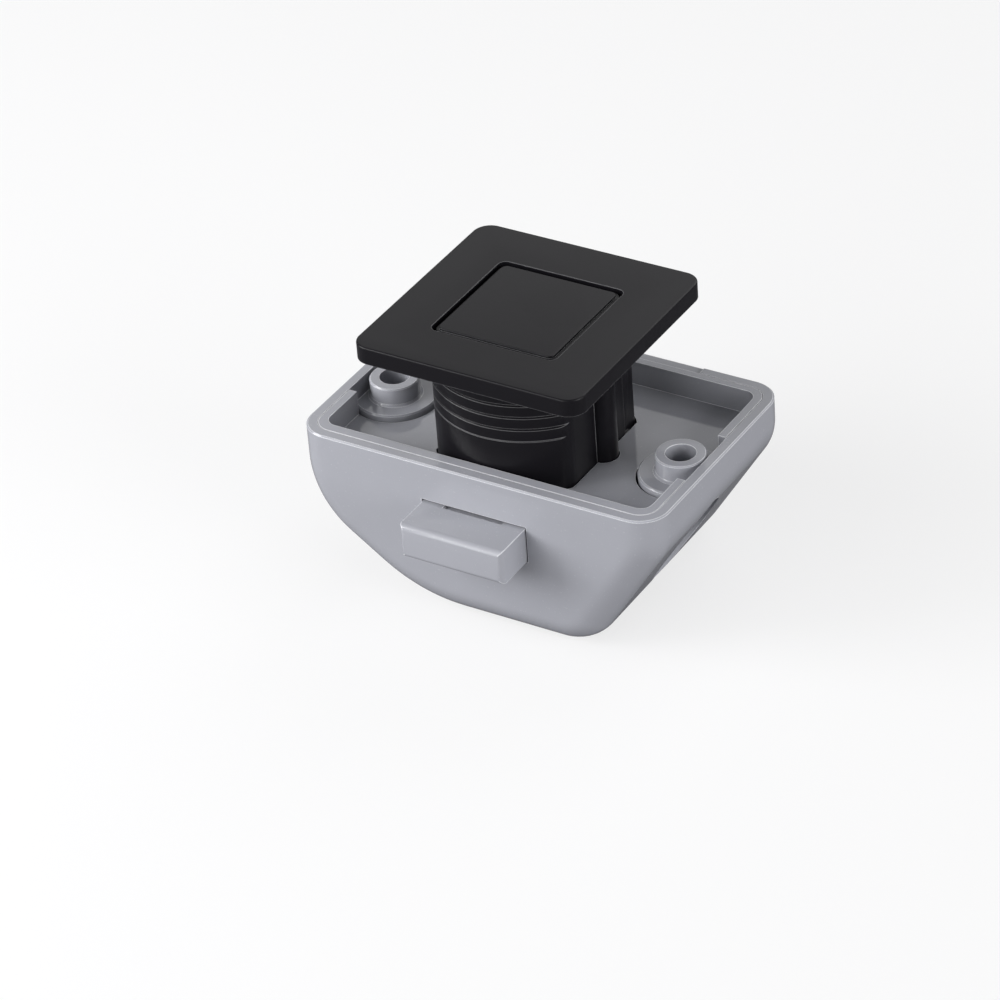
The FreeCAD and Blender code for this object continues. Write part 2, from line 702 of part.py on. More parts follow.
def button_cap():
    top, foot = BUTTON_TOP, BUTTON_FOOT
    half = size("button_side") / 2
    ledge, step = size("button_ledge"), top - size("button_step")
    lower = square_block("cap_block", half, LOCK_Y, size("button_corner"), (foot, step), size("button_edge"))
    upper = square_block("cap_face", half - ledge, LOCK_Y, size("button_corner") - ledge,
                         (step - size("button_edge") * 2, top), size("button_edge"))
    outer = fuse("cap_outer", [lower, upper])
    roof = top - size("button_roof")
    inner = half - size("button_wall")
    hollow = box("cap_hollow", (-inner, inner), (LOCK_Y - inner, LOCK_Y + inner), (foot - PAST, roof))
    skirt = cut("cap_skirt", outer, [hollow])
    reach, wide = size("lug_reach"), size("lug_half")
    lug_top = foot + size("lug_height")
    lugs = box("cap_lugs", (-wide, wide), (LOCK_Y - reach, LOCK_Y + reach), (foot, lug_top))
    gap = box("cap_lug_gap", (-wide - PAST, wide + PAST), (LOCK_Y - inner, LOCK_Y + inner),
              (foot - PAST, lug_top + PAST))
    socket = rod("cap_socket", size("socket_radius"), 0, LOCK_Y,
                 (SOCKET_FOOT, roof + size("button_roof") / 2))
    solid = fuse("cap_solid", [skirt, cut("cap_lug_pair", lugs, [gap]), socket])
    bore = rod("cap_socket_bore", size("stem_head_radius") + size("join_gap"), 0, LOCK_Y,
               (SOCKET_FOOT - PAST, STEM_TOP + size("join_gap")))
    reach = size("socket_radius") + PAST / 2
    hole = cross_rod("cap_pin_hole", size("cap_pin_radius") + size("join_gap"), (-reach, reach), LOCK_Y, CAP_PIN_Z)
    return cut("button_cap", solid, [bore, hole])


def catch_track():
    """The heart-shaped track in the front of the plunger, as the solid that cuts it."""
    face = LOCK_Y - size("stem_half_depth")
    half, lane = size("track_half"), size("island_half")
    owner = body("catch_track")
    profile = sketch(owner, "catch_track_outline", "XZ", -(face + size("track_depth")))
    rectangle(profile, (-half, half), (size("track_foot"), size("track_top")))
    polygon(profile, [(0, size("island_foot")), (lane, size("island_foot") + lane * 2),
                      (lane, size("island_shoulder")), (0, size("island_notch")),
                      (-lane, size("island_shoulder") - lane), (-lane, size("island_foot") + lane * 2)])
    pad(owner, "catch_track_pad", profile, size("track_depth") + PAST)
    return owner


def plunger():
    wide, deep = size("stem_half_width"), size("stem_half_depth")
    shoulder = STEM_TOP - size("stem_head_height")
    square = box("stem_square", (-wide, wide), (LOCK_Y - deep, LOCK_Y + deep), (size("stem_foot"), shoulder))
    head = rod("stem_head", size("stem_head_radius"), 0, LOCK_Y, (shoulder - PAST, STEM_TOP))
    solid = fuse("stem_solid", [square, head])
    fit = size("join_gap")
    cap_hole = cross_rod("stem_cap_hole", size("cap_pin_radius") + fit, (-wide * 2.0, wide * 2.0), LOCK_Y,
                         CAP_PIN_Z)
    pin_hole = cross_rod("stem_pin_hole", size("pin_radius") + fit, (-wide * 2.0, wide * 2.0), LOCK_Y,
                         size("pin_height"))
    return cut("plunger", solid, [cap_hole, pin_hole, catch_track()])


def cap_pin():
    reach = size("socket_radius") - size("cap_pin_short")
    return cross_rod("cap_pin", size("cap_pin_radius"), (-reach, reach), LOCK_Y, CAP_PIN_Z)


def cross_pin():
    reach = size("pin_half")
    return cross_rod("cross_pin", size("pin_radius"), (-reach, reach), LOCK_Y, size("pin_height"))


def pin_slot():
    """The sloped slot of the bolt arms: where the cross pin travels, seen from the bolt."""
    radius = size("pin_radius") + size("slot_gap")
    press, rise, ratio = size("press_travel"), size("rise_travel"), size("bolt_ratio")
    low = (LOCK_Y + press * ratio, size("pin_height") - press)
    high = (LOCK_Y - rise * ratio, size("pin_height") + rise)
    reach = size("bolt_half") + PAST
    ends = [cross_rod("slot_%s_end" % label, radius, (-reach, reach), y, z)
            for label, (y, z) in (("low", low), ("high", high))]
    run = Size(math.hypot(1.0, ratio.value), "sqrt(1 + %s ^ 2)" % ratio.text)
    across, along_slope = radius / run, radius * ratio / run
    owner = body("slot_middle")
    profile = sketch(owner, "slot_middle_outline", "YZ", -reach)
    polygon(profile, [(low[0] - across, low[1] - along_slope), (low[0] + across, low[1] + along_slope),
                      (high[0] + across, high[1] + along_slope), (high[0] - across, high[1] - along_slope)])
    pad(owner, "slot_middle_pad", profile, reach * 2.0)
    return ends + [owner]


def bolt():
    half, under, top = size("bolt_half"), size("bolt_under"), size("bolt_top")
    nose = FRONT - size("bolt_reach")
    head_back = size("bolt_head_back")
    owner = body("bolt_head")
    profile = sketch(owner, "bolt_head_outline", "XZ", -head_back)
    rectangle(profile, (-half, half), (under, top))
    block = pad(owner, "bolt_head_pad", profile, head_back - nose)

    def on_nose(points):
        return all(near(point.y, nose.value) for point in points)

    fillet(owner, "bolt_head_edge", block, on_nose, size("bolt_edge"))
    inner, low = size("arm_inner"), size("arm_under")
    solids = [owner]
    for name, sign in SIDES:
        solids.append(box("bolt_arm_" + name, mirrored(sign, inner, half),
                          (head_back - PAST, size("bar_back")), (low, top)))
    solids.append(box("bolt_bar", (-half, half), (size("bar_front"), size("bar_back")), (under, top)))
    relief = box("bolt_relief", (-size("relief_half"), size("relief_half")),
                 (FRONT - size("relief_lead"), FRONT - size("relief_lead") + size("relief_length")),
                 (top - size("relief_depth"), top + PAST))
    return cut("bolt", fuse("bolt_solid", solids), pin_slot() + [relief])


def chassis():
    inner, wall = size("chassis_inner"), size("chassis_wall")
    outer = inner + wall
    half, under, top = size("chassis_half"), size("chassis_under"), size("chassis_top")
    floor = under + size("chassis_floor")
    solids = [box("chassis_base", (-outer, outer), (-half, half), (under, floor))]
    shelf_back = half - size("stop_wall") / 2
    shelf = (size("shelf_front"), shelf_back)
    shelf_under = size("shelf_top") - size("shelf_thick")
    solids.append(box("chassis_shelf", (-size("shelf_half"), size("shelf_half")), shelf,
                      (shelf_under, size("shelf_top"))))
    solids.append(box("chassis_pillar", (-size("pillar_half"), size("pillar_half")), shelf,
                      (floor - PAST / 2, size("shelf_top") - PAST / 2)))
    pad_back = size("pad_front") + size("pad_thick")
    stop_back = pad_back + size("stop_wall")
    solids.append(box("chassis_stop", (-outer, outer), (pad_back, stop_back), (shelf_under, top)))
    stand = size("stand_half")
    foot = size("wire_foot_height") - size("wire_radius")
    solids.append(box("stand_low", (-stand, stand), (size("stand_front"), size("stand_back")),
                      (floor - PAST / 2, foot)))
    solids.append(box("stand_high", (-stand, stand), (size("stand_front"), size("stand_step")),
                      (floor - PAST / 2, foot + size("wire_radius") * 2.0)))
    tools = []
    ear_low = size("post_top")
    ear_top = ear_low + size("ear_thick")
    for name, sign in SIDES:
        solids.append(box("chassis_wall_" + name, mirrored(sign, inner, outer), (-half, half), (under, top)))
        solids.append(box("chassis_tail_" + name, mirrored(sign, inner, outer), (half - PAST, stop_back),
                          (shelf_under, top)))
        x = size("post_offset") * sign
        solids.append(box("ear_arm_" + name, mirrored(sign, outer - wall / 2, size("post_offset")),
                          (LOCK_Y - size("ear_radius"), LOCK_Y + size("ear_radius")), (ear_low, ear_top)))
        solids.append(rod("ear_end_" + name, size("ear_radius"), x, LOCK_Y, (ear_low, ear_top)))
        tools.append(rod("ear_hole_" + name, size("small_screw_radius") + size("join_gap") * 5.0, x, LOCK_Y,
                         (ear_low - PAST, ear_top + PAST)))
    room = size("stem_room")
    tools.append(box("stem_well", (-(size("stem_half_width") + room), size("stem_half_width") + room),
                     (LOCK_Y - size("stem_half_depth") - room, LOCK_Y + size("stem_half_depth") + room),
                     (under - PAST, floor + PAST / 4)))
    tools.append(rod("catch_screw_hole", size("small_screw_radius") + size("join_gap"), size("catch_screw_x"),
                     size("catch_screw_y"), (size("catch_screw_tip") - size("join_gap"), foot + PAST * 2.0)))
    tools.append(box("leaf_pocket_space", (-inner - size("leaf_pocket"), -inner + PAST / 2),
                     (-size("leaf_half") - size("leaf_clear"), size("leaf_half") + size("leaf_clear")),
                     (size("leaf_low") - size("leaf_clear"), size("leaf_high") + size("leaf_clear"))))
    return cut("chassis", fuse("chassis_solid", solids), tools)


def pan_screw(name, x, y, seat, tip, shank_radius, head_radius, head_height):
    """A small screw: pan head with a straight slot, on a plain shank."""
    shank = rod(name + "_shank", shank_radius, x, y, (tip, seat + head_height / 2))
    head = rod(name + "_head", head_radius, x, y, (seat, seat + head_height))
    slot = box(name + "_slot", (x - head_radius - PAST, x + head_radius + PAST),
               (y - size("small_slot_half"), y + size("small_slot_half")),
               (seat + head_height * 0.6, seat + head_height + PAST))
    return cut(name, fuse(name + "_solid", [shank, head]), [slot])


def chassis_screws():
    seat = size("post_top") + size("ear_thick")
    screws = [pan_screw("chassis_screw_" + name, size("post_offset") * sign, LOCK_Y, seat,
                        size("chassis_screw_tip"), size("small_screw_radius"), size("small_head_radius"),
                        size("small_head_height"))
              for name, sign in SIDES]
    group = doc.addObject("Part::Compound", "chassis_screws")
    group.Links = screws
    return group


def drawn_wire(outline, moves):
    """A solid wire of the closed outline. A move is a straight run, or a bend: its middle, axis and angle."""
    skins = [Part.Face(outline)]
    for move in moves:
        if isinstance(move, FreeCAD.Vector):
            skins += [edge.extrude(move) for edge in outline.Edges]
            outline = outline.translated(move)
        else:
            skins += [edge.revolve(*move) for edge in outline.Edges]
            outline = outline.rotated(*move)
    skin = Part.Compound(skins + [Part.Face(outline)])
    skin.sewShape()
    solid = Part.Solid(skin.Shells[0])
    if solid.Volume < 0:
        solid.reverse()
    return solid


def bent_path(points, bend):
    """The runs and bends of a wire that turns at each inner point with the same radius."""
    moves = []
    start = points[0]
    for before, corner, after in zip(points, points[1:], points[2:]):
        into, out = (corner - before).normalize(), (after - corner).normalize()
        turn = into.getAngle(out)
        reach = bend * math.tan(turn / 2)
        axis = into.cross(out).normalize()
        first = corner - into * reach
        moves.append(first - start)
        moves.append((first + axis.cross(into) * bend, axis, math.degrees(turn)))
        start = corner + out * reach
    return moves + [points[-1] - start]


def catch_wire():
    """A round wire: foot along X, leg up to the track, tip bent back into the track."""
    lane, foot_y, foot_z = size("wire_lane"), size("wire_foot_y"), size("wire_foot_height")
    face = LOCK_Y - size("stem_half_depth")
    tip_z = size("wire_tip_height")
    path = [(size("wire_foot_end"), foot_y, foot_z), (lane, foot_y, foot_z),
            (lane, face - size("wire_bend") * 1.5, tip_z), (lane, face + size("wire_tip_depth"), tip_z)]
    points = [FreeCAD.Vector(*(number.value for number in place)) for place in path]
    item = doc.addObject("Part::Feature", "catch_wire")
    outline = Part.Wire([Part.makeCircle(size("wire_radius").value, points[0], points[1] - points[0])])
    item.Shape = drawn_wire(outline, bent_path(points, size("wire_bend").value))
    return item


def catch_plate():
    foot = size("wire_foot_height") + size("wire_radius")
    stand = size("stand_half")
    plate = box("catch_plate_slab", (-stand, size("catch_plate_right")),
                (size("stand_front"), size("stand_back")), (foot, foot + size("catch_plate_thick")))
    hole = rod("catch_plate_hole", size("small_screw_radius") + size("join_gap") * 5.0, size("catch_screw_x"),
               size("catch_screw_y"), (foot - PAST, foot + PAST * 3.0))
    return cut("catch_plate", plate, [hole])


def catch_screw():
    seat = size("wire_foot_height") + size("wire_radius") + size("catch_plate_thick")
    return pan_screw("catch_screw", size("catch_screw_x"), size("catch_screw_y"), seat,
                     size("catch_screw_tip"), size("small_screw_radius"), size("catch_head_radius"),
                     size("catch_head_height"))


def arc(item, x, half, crown_x):
    """An arc of a sketch through two ends at (x, -half) and (x, half), bowed towards crown_x."""
    sag = crown_x - x
    radius = (half * half + sag * sag) / (sag * 2.0)
    ends = [FreeCAD.Vector(x.value, end, 0) for end in (-half.value, half.value)]
    bow = Part.Arc(ends[0], FreeCAD.Vector(crown_x.value, 0, 0), ends[1])
    curve = item.addGeometry(bow, False)
    pin_point(item, curve, 1, x, -half)
    pin_point(item, curve, 2, x, half)
    index = item.addConstraint(Sketcher.Constraint("Radius", curve, radius.value))
    item.setExpression("Constraints[%d]" % index, radius.text)
    return curve


def bolt_leaf():
    """A shallow curved strip between the pocket of the chassis wall and the left bolt arm."""
    thick, half = size("leaf_thick"), size("leaf_half")
    back = -(size("chassis_inner") + size("leaf_pocket") - size("leaf_clear"))
    crown = -(size("bolt_half") + size("leaf_clear"))
    owner = body("bolt_leaf")
    profile = sketch(owner, "bolt_leaf_outline", "XY", size("leaf_low"))
    outer = arc(profile, back, half, crown - thick)
    inner = arc(profile, back + thick, half, crown)
    for end in (1, 2):
        first = FreeCAD.Vector(back.value, half.value * (2 * end - 3), 0)
        line = profile.addGeometry(Part.LineSegment(first, first + FreeCAD.Vector(thick.value, 0, 0)), False)
        profile.addConstraint(Sketcher.Constraint("Coincident", line, 1, outer, end))
        profile.addConstraint(Sketcher.Constraint("Coincident", line, 2, inner, end))
    pad(owner, "bolt_leaf_pad", profile, size("leaf_high") - size("leaf_low"))
    return owner


def bolt_pad():
    front = size("pad_front")
    return box("bolt_pad", (-size("pad_half"), size("pad_half")),
               (front, front + size("pad_thick") - size("join_gap")),
               (size("shelf_top") + size("join_gap"), size("chassis_top") - size("pad_below_top")))


def spring_seat():
    low = RECESS_FLOOR
    ring = rod("seat_ring", size("seat_outer"), 0, LOCK_Y, (low, low + size("seat_thick")))
    hole = rod("seat_hole", size("seat_inner"), 0, LOCK_Y, (low - PAST, low + size("seat_thick") + PAST))
    return cut("spring_seat", ring, [hole])


SPRING_TURNS = 4


def main_spring():
    """Wire with eight flats, wound in tilted half turns that follow on smoothly, its ends lying flat."""
    low = RECESS_FLOOR + size("seat_thick") + size("spring_wire")
    high = BUTTON_TOP - size("button_roof") - size("spring_wire")
    reach, height = size("spring_radius").value, (high - low).value
    flat = math.pi / 8
    outer = (size("spring_wire") - size("spring_shrink")).value / math.cos(flat)
    corners = [FreeCAD.Vector(reach + outer * math.cos(flat * turn), 0, outer * math.sin(flat * turn))
               for turn in range(1, 18, 2)]
    rise = height / (2 * SPRING_TURNS - 2)
    levels = [0.0] + [rise * step for step in range(2 * SPRING_TURNS - 1)] + [height]
    turns = []
    for index, (start, stop) in enumerate(zip(levels, levels[1:])):
        side = 1 if index % 2 == 0 else -1
        across = FreeCAD.Vector(-2 * reach * side, 0, stop - start)
        middle = FreeCAD.Vector(0, 0, (start + stop) / 2)
        turns.append((middle, across.cross(FreeCAD.Vector(0, -side, 0)), 180.0))
    item = doc.addObject("Part::Feature", "main_spring")
    item.Shape = drawn_wire(Part.makePolygon(corners), turns)
    bind_place(item, 0, LOCK_Y, low)
    return item


PIECES = [case_shell, case_insert, rosette, button_cap, plunger, cap_pin, cross_pin, bolt, main_spring,
          spring_seat, chassis, chassis_screws, catch_wire, catch_plate, catch_screw, bolt_leaf, bolt_pad]


def build():
    made = [(piece.__name__, piece()) for piece in PIECES]
    doc.recompute()
    for item in doc.Objects:
        wrong = {"Invalid", "Error"} & set(item.State)
        if wrong:
            raise RuntimeError("%s does not build: %s" % (item.Name, ", ".join(sorted(wrong))))
    for name, item in made:
        if item.Shape.isNull() or not item.Shape.isValid():
            raise RuntimeError("%s has no sound shape" % name)
        item.Label = name
    os.makedirs("parts", exist_ok=True)
    for name, item in made:
        item.Shape.exportStep("parts/%s.step" % name)
        print("%-16s %9.1f mm3 %4d faces %d solids" % (name, item.Shape.Volume, len(item.Shape.Faces),
                                                      len(item.Shape.Solids)))


build()
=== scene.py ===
import json
import math

import bmesh
import bpy
from mathutils import Matrix, Vector

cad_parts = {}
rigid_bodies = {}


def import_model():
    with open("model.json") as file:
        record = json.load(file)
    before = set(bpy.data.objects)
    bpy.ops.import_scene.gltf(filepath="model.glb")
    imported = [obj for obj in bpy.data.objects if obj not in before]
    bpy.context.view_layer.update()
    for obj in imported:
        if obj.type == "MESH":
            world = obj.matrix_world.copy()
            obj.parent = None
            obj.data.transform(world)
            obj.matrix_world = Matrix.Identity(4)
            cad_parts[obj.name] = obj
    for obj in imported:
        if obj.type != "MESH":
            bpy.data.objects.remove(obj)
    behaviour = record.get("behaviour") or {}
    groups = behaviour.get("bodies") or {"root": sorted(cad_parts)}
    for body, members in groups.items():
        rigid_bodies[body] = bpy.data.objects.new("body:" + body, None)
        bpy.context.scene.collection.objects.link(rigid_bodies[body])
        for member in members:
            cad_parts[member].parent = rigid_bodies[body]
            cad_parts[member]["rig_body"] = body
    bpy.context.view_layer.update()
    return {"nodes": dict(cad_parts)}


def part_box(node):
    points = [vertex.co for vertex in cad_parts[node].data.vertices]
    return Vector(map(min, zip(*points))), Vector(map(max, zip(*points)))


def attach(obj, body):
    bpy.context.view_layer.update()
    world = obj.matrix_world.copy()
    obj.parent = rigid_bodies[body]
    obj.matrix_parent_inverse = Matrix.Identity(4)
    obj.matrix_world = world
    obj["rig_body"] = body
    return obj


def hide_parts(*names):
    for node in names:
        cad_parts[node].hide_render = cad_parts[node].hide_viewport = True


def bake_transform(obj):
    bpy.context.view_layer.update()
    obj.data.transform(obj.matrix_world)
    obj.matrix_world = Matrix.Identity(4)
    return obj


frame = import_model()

bl_info = {
    "name": "Pushbutton lock",
    "version": (1, 0, 0),
    "blender": (4, 5, 0),
    "location": "3D View > Sidebar > Lock",
    "description": "Finishes the packed pushbutton lock and sets up its product picture",
    "category": "Object",
}

MM = 0.001

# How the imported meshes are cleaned, and which of their edges are rounded
MERGE_DISTANCE = 0.002 * MM
FLAT_ANGLE = math.radians(0.4)
SHARP_ANGLE = math.radians(28.0)
EDGE_STEPS = 3

# Edges as the materials see them, in mm: how wide they are painted lighter, partly as rubbed plastic and
# partly as painted highlight lines, and how round they look
EDGE_RUB_AND_HIGHLIGHT_REACH = 0.22
PLASTIC_ROUNDING = 0.12
STEEL_ROUNDING = 0.08

# Relief of the moulded plastic: the width of its pits in grains, the share of the fine grain in its height
# (the pits are the rest), and its whole depth in grain depths
PIT_WIDTH = 2.6
FINE_SHARE = 0.6
RELIEF_DEPTH = 4

# Lamps that face the lock: place and width in metres, power in watts
LAMPS = {
    "front": ((-0.2, -0.95, 0.3), 0.7, 5.0),
    "key": ((-0.55, -0.6, 0.6), 0.7, 2.2),
    "near": ((-0.38, -0.28, 0.22), 0.3, 2.6),
    "right": ((0.95, -0.1, 0.2), 0.7, 11.5),
    "back": ((0.1, 0.75, 0.7), 0.7, 2.8),
    "top": ((0.0, 0.1, 1.0), 0.7, 0.7),
}
LAMP_AIM = Vector((0.0, 0.0, 0.02))


# Sizes and colours

def colour(label, default, note):
    return bpy.props.FloatVectorProperty(name=label, subtype="COLOR", size=3, min=0, max=1, default=default,
                                         description=note)


def length(label, default, note):
    return bpy.props.FloatProperty(name=label, subtype="DISTANCE", unit="LENGTH", min=0, default=default,
                                   precision=5, description=note)


def share(label, default, note):
    return bpy.props.FloatProperty(name=label, subtype="FACTOR", min=0, max=1, default=default,
                                   description=note)


def turn(label, degrees, note):
    return bpy.props.FloatProperty(name=label, unit="ROTATION", default=math.radians(degrees),
                                   description=note)


class CaseSizes(bpy.types.PropertyGroup):
    grey: colour("Grey", (0.325, 0.33, 0.362), "Colour of the moulded case, tray and bolt")
    tray_shade: share("Tray shade", 0.985, "Shade of the tray against the case")
    bolt_shade: bpy.props.FloatProperty(name="Bolt shade", min=0, default=1.02,
                                        description="Shade of the bolt against the case")
    roughness: share("Roughness", 0.08, "Roughness of the moulded surface")
    shine: share("Shine", 0.5, "Specular level of the moulded surface")
    # Edge colour: partly rubbed plastic, partly painted highlight lines along the edges
    edge_rub_and_highlight: colour("Edges", (0.8, 0.8, 0.84), "Colour of the sharp edges, polished and lighter")
    grain: length("Grain", 0.22 * MM, "Size of the fine eroded grain of the mould")
    grain_depth: length("Grain depth", 0.002 * MM, "Depth of that grain")
    edge: length("Edge", 0.13 * MM, "Rounding of the edges of case and tray")
    bolt_edge: length("Bolt edge", 0.12 * MM, "Rounding of the edges of the bolt")


class RosetteSizes(bpy.types.PropertyGroup):
    black: colour("Black", (0.0066, 0.0061, 0.0078), "Colour of the rosette and the button")
    roughness: share("Roughness", 0.33, "Roughness of rosette and button")
    shine: share("Shine", 0.16, "Specular level of rosette and button")
    # Edge colour: partly rubbed plastic, partly painted highlight lines along the edges
    edge_rub_and_highlight: colour("Edges", (0.13, 0.13, 0.135), "Colour of the sharp edges, polished and lighter")
    grain: length("Grain", 0.16 * MM, "Size of the grain")
    grain_depth: length("Grain depth", 0.003 * MM, "Depth of the grain")
    edge: length("Edge", 0.1 * MM, "Rounding of the edges of rosette and button")


class InnerSizes(bpy.types.PropertyGroup):
    natural: colour("Natural plastic", (0.62, 0.6, 0.54), "Colour of the plunger and the spring seat")
    dark: colour("Dark plastic", (0.03, 0.03, 0.032), "Colour of the chassis")
    steel: colour("Steel", (0.56, 0.56, 0.57), "Colour of the pins; springs and wire are a little darker")
    zinc: colour("Zinc", (0.66, 0.67, 0.68), "Colour of the plated screws and the catch plate")
    rubber: colour("Rubber", (0.022, 0.022, 0.022), "Colour of the buffer behind the bolt")


class StageSizes(bpy.types.PropertyGroup):
    azimuth: turn("Azimuth", 33.143, "Camera direction, from the front towards the right")
    elevation: turn("Elevation", 34.063, "Camera direction above level")
    roll: turn("Roll", -4.501, "Turn of the picture")
    distance: length("Distance", 690.23 * MM, "Camera from the rosette, along its view")
    aside: length("Aside", 4.3 * MM, "Rosette beside the middle of the picture")
    above: length("Above", 29.57 * MM, "Rosette above the middle of the picture")
    lens: bpy.props.FloatProperty(name="Lens", default=159.87, unit="CAMERA", description="Focal length, mm")
    floor: colour("Floor", (0.22, 0.22, 0.23), "Colour of the floor as it lights the lock")
    seen: colour("Seen floor", (0.75, 0.75, 0.76), "Colour of the floor as the camera sees it")
    white: share("White floor", 0.72, "How far the floor and backdrop are lifted to white for the camera")
    wall: share("White backdrop", 1.0, "How far the backdrop is lifted to white in reflections")
    wall_height: length("White height", 0.6, "Height at which the backdrop is at its whitest in reflections")
    reach: length("Reach", 3.0, "Floor from the middle to each side and to the front")
    sweep_start: length("Sweep start", 1.2, "End of the flat floor behind the lock")
    sweep_radius: length("Sweep radius", 0.6, "Radius of the curve from floor to backdrop")
    backdrop: length("Backdrop", 2.6, "Height of the backdrop")
    sky: colour("Sky", (0.95, 0.97, 1.0), "Colour of the light from all round")
    sky_light: share("Sky light", 0.1, "Strength of the light from all round")


# Materials: sums on sockets, and one way to add any other node

# Sockets of a Mix node of colours, which Blender tells apart only by number
MIX_AMOUNT, MIX_FIRST, MIX_SECOND = 0, 6, 7
MIX_RESULT = 2


class Link:
    """The output of a node. Sums written with it add the nodes that work them out."""

    def __init__(self, finish, socket):
        self.finish = finish
        self.socket = socket

    def sum(self, operation, *values):
        return self.finish.add("ShaderNodeMath", {"operation": operation}, dict(enumerate(values)))

    def __add__(self, other):
        return self.sum("ADD", self, other)

    def __radd__(self, other):
        return self.sum("ADD", other, self)

    def __sub__(self, other):
        return self.sum("SUBTRACT", self, other)

    def __rsub__(self, other):
        return self.sum("SUBTRACT", other, self)

    def __mul__(self, other):
        return self.sum("MULTIPLY", self, other)

    def __rmul__(self, other):
        return self.sum("MULTIPLY", other, self)

    def limited(self):
        """The value, kept between 0 and 1."""
        return self.sum("MINIMUM", self.sum("MAXIMUM", self, 0.0), 1.0)


class Finish:
    """A material that is built node by node. Its place is the point on the object, in mm."""

    def __init__(self, name):
        self.material = bpy.data.materials.new(name)
        self.material.use_nodes = True
        self.nodes = self.material.node_tree.nodes
        self.links = self.material.node_tree.links
        self.nodes.clear()
        self.output = self.nodes.new("ShaderNodeOutputMaterial")
        place = self.add("ShaderNodeTexCoord", {}, {}, "Object")
        self.place = self.add("ShaderNodeVectorMath", {"operation": "SCALE"}, {0: place, "Scale": 1 / MM})

    def add(self, kind, settings, sockets, output=0):
        """Adds a node: its settings first, then the values or links of its sockets."""
        node = self.nodes.new(kind)
        for name, value in settings.items():
            if name == "stops":
                self.set_stops(node.color_ramp, value)
            else:
                setattr(node, name, value)
        for name, value in sockets.items():
            if isinstance(value, Link):
                self.links.new(value.socket, node.inputs[name])
            elif hasattr(value, "__len__") and len(value) == 3 and node.inputs[name].type == "RGBA":
                node.inputs[name].default_value = (*value, 1.0)
            else:
                node.inputs[name].default_value = value
        return Link(self, node.outputs[output])

    def set_stops(self, ramp, stops):
        while len(ramp.elements) < len(stops):
            ramp.elements.new(0.5)
        for element, (position, level) in zip(ramp.elements, stops):
            element.position = position
            element.color = (level, level, level, 1.0)

    def noise(self, size_mm, detail, roughness, stretch=None):
        place = self.place
        if stretch is not None:
            place = self.add("ShaderNodeVectorMath", {"operation": "MULTIPLY"}, {0: place, 1: stretch})
        sockets = {"Vector": place, "Scale": 1 / size_mm, "Detail": detail, "Roughness": roughness}
        return self.add("ShaderNodeTexNoise", {}, sockets, "Fac")

    def ramp(self, value, low, high, start=0.0, end=1.0):
        """start where the value is under low, end where it is over high, and even steps between them."""
        return self.add("ShaderNodeValToRGB", {"stops": [(low, start), (high, end)]}, {"Fac": value})

    def mix(self, amount, first, second):
        sockets = {MIX_AMOUNT: amount, MIX_FIRST: first, MIX_SECOND: second}
        return self.add("ShaderNodeMix", {"data_type": "RGBA"}, sockets, MIX_RESULT)

    def rounded_normal(self, radius_mm, samples):
        return self.add("ShaderNodeBevel", {"samples": samples}, {"Radius": radius_mm * MM})

    def bump(self, height, depth, strength, normal=None):
        """The surface's normal, or the one given, with the height pressed into it."""
        sockets = {"Height": height, "Distance": depth, "Strength": strength}
        if normal is not None:
            sockets["Normal"] = normal
        return self.add("ShaderNodeBump", {}, sockets, "Normal")

    def edge_mask(self, reach_mm, marked_share=0.6):
        """1 on edges, 0 on faces: the edges that rounded_copy marks, and those that stayed sharp.

        Near a sharp edge the rounded normal leans away from the face's own."""
        marked = self.add("ShaderNodeAttribute", {"attribute_name": "edge"}, {}, "Fac")
        rounded = self.rounded_normal(reach_mm, samples=8)
        plain = self.add("ShaderNodeNewGeometry", {}, {}, "Normal")
        normals = {0: rounded, 1: plain}
        along = self.add("ShaderNodeVectorMath", {"operation": "DOT_PRODUCT"}, normals, "Value")
        sharp = self.ramp(1.0 - along, low=0.012, high=0.055)
        return (marked * marked_share + sharp).limited()

    def surface(self, kind, sockets):
        """Ends the material with a shader of this kind."""
        shader = self.add(kind, {}, sockets)
        self.links.new(shader.socket, self.output.inputs["Surface"])
        return self.material


def shaded(tone, factor):
    """The colour, darker with a factor under 1 and lighter with one over 1."""
    return tuple(min(1.0, channel * factor) for channel in tone)


def shades(tone, *factors):
    return [shaded(tone, factor) for factor in factors]


def swing(noise, amount):
    """A change up and down round zero, of half the amount at most."""
    return (noise - 0.5) * amount


